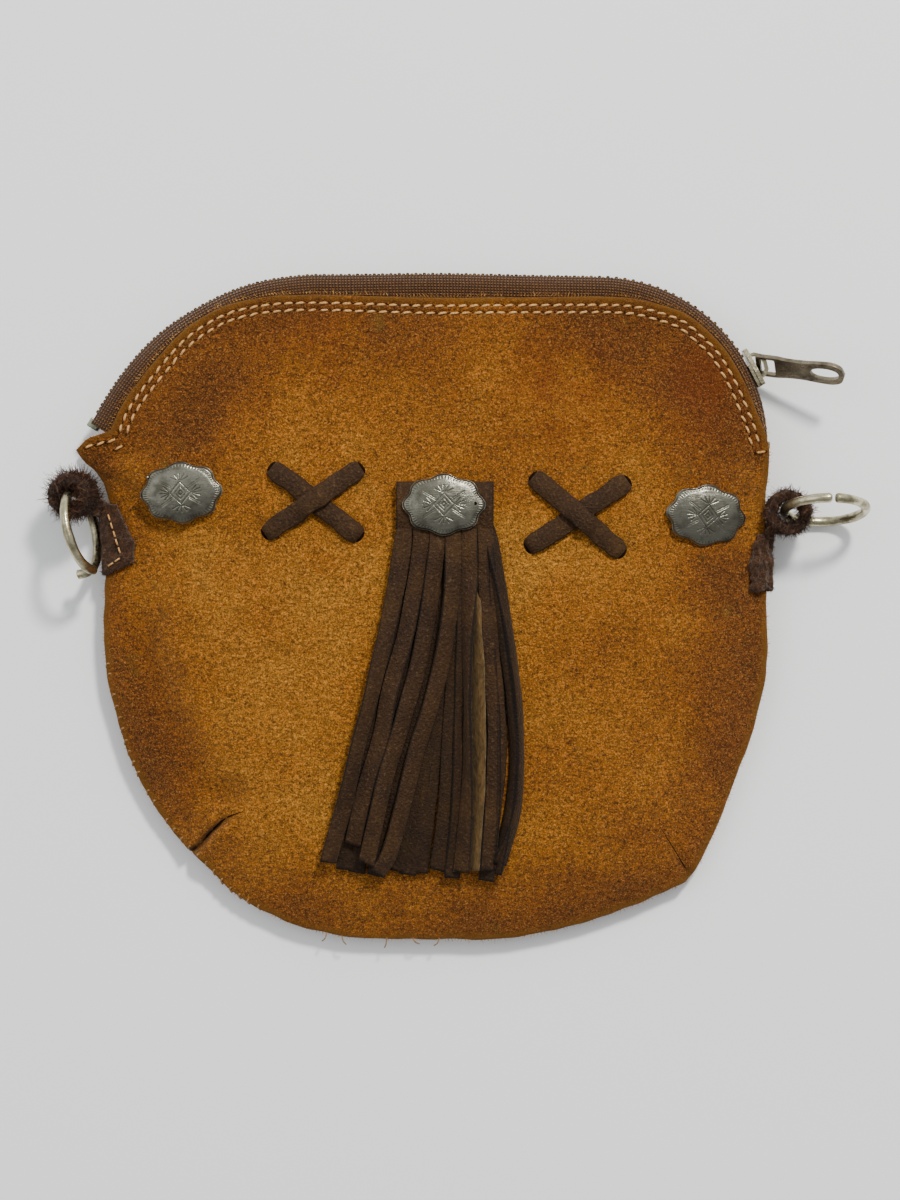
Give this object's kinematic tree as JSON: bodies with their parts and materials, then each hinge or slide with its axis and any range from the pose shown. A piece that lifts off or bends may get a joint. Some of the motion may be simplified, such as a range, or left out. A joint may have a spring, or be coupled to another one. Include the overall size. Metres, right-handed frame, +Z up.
{
  "type": "fringed suede zip bag",
  "caption": "Small suede bag lying flat, with a curved metal zip, a ring in a strap loop at each side, scalloped metal conchos, crossed leather lacings and a hanging leather fringe.",
  "frame": {"origin": "on the flat underside of the back panel, at the middle of the bag, where it lies on a table", "axes": "+Z up out of the bag's decorated front, +Y from the bottom seam towards the zip, +X towards the zip pull and the bag's longest side to side span"},
  "size_m": [0.2449, 0.2001, 0.0264],
  "materials": {
    "suede_tan": "rough napped suede",
    "suede_dark": "rough napped suede",
    "leather_dark": "dull split leather",
    "zip_tape": "woven tape",
    "zip_metal": "antiqued, worn bright on the edges",
    "ring_nickel": "tarnished nickel plate",
    "concho_metal": "oxidised nickel, dark in the engraving"
  },
  "bodies": {
    "bag": {"front_panel": "suede_tan", "back_panel": "suede_tan", "zip_tape_front": "zip_tape", "zip_tape_back": "zip_tape", "zip_teeth_front": "zip_metal", "zip_teeth_back": "zip_metal", "zip_bottom_stop": "zip_metal", "zip_top_stop_front": "zip_metal", "zip_top_stop_back": "zip_metal", "ring_tab_left": "suede_dark", "ring_tab_right": "suede_dark", "concho_left": "concho_metal", "concho_center": "concho_metal", "concho_right": "concho_metal", "concho_screw_left": "concho_metal", "concho_screw_center": "concho_metal", "concho_screw_right": "concho_metal", "fringe_front": "leather_dark", "fringe_back": "leather_dark", "lacing_left_over": "leather_dark", "lacing_left_under": "leather_dark", "lacing_right_over": "leather_dark", "lacing_right_under": "leather_dark"},
    "slider": {"zip_slider": "zip_metal"},
    "pull": {"zip_pull": "zip_metal"},
    "left_ring": {"ring_left": "ring_nickel"},
    "right_ring": {"ring_right": "ring_nickel"}
  },
  "joints": [
    {"name": "slider_travel", "type": "hinge", "parent": "bag", "child": "slider", "pos_m": [0.0507, 0.0462, 0.0078], "axis": [0, 0, 1], "range_deg": [-11, 60]},
    {"name": "pull_swing", "type": "hinge", "parent": "slider", "child": "pull", "pos_m": [0.09877, 0.07069, 0.0078], "axis": [-0.1851, 0.6109, 0.7698], "range_deg": [-48, 48]},
    {"name": "left_ring_swing", "type": "hinge", "parent": "bag", "child": "left_ring", "pos_m": [-0.10631, 0.03126, 0.0133], "axis": [-0.263, -0.0607, 0.9629], "range_deg": [-160, 0]},
    {"name": "right_ring_swing", "type": "hinge", "parent": "bag", "child": "right_ring", "pos_m": [0.1071, 0.0262, 0.0112], "axis": [0, 0, 1], "range_deg": [-85, 45]}
  ]
}
